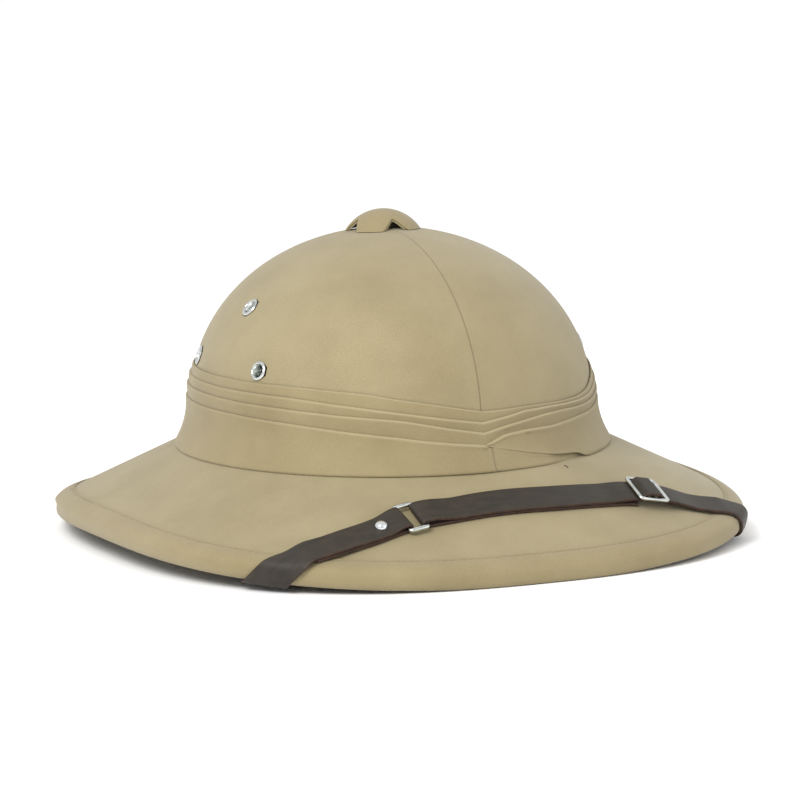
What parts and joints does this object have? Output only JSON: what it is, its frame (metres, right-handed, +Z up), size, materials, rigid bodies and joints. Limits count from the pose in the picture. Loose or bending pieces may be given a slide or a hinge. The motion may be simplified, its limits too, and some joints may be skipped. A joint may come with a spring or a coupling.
{
  "type": "pith helmet",
  "caption": "Cloth-covered pith helmet with a domed crown, sloping brim, pleated band, ventilator cap, metal eyelets and a leather chin strap lying over the brim.",
  "frame": {"origin": "middle of the brim's outline, on the surface the helmet stands on", "axes": "+Z up, the front of the helmet towards -Y, the wearer's left towards +X"},
  "size_m": [0.303, 0.337, 0.1522],
  "materials": {
    "cloth": "matte khaki twill, slightly worn",
    "leather": "dark brown, smooth, with a soft shine and reddish brown cut edges",
    "nickel": "bright nickel plate"
  },
  "bodies": {
    "root": {"crown": "cloth", "brim": "cloth", "brim_binding": "cloth", "puggaree_right": "cloth", "puggaree_left": "cloth", "vent_cap": "cloth", "vent_cap_post": "nickel", "eyelet_right_top": "nickel", "eyelet_right_front": "nickel", "eyelet_right_rear": "nickel", "eyelet_left_top": "nickel", "eyelet_left_front": "nickel", "eyelet_left_rear": "nickel", "chin_strap_short": "leather", "chin_strap_long": "leather", "strap_ring": "nickel", "strap_slider": "nickel", "strap_rivet": "nickel", "strap_stud_right": "nickel", "strap_stud_left": "nickel"}
  },
  "joints": []
}
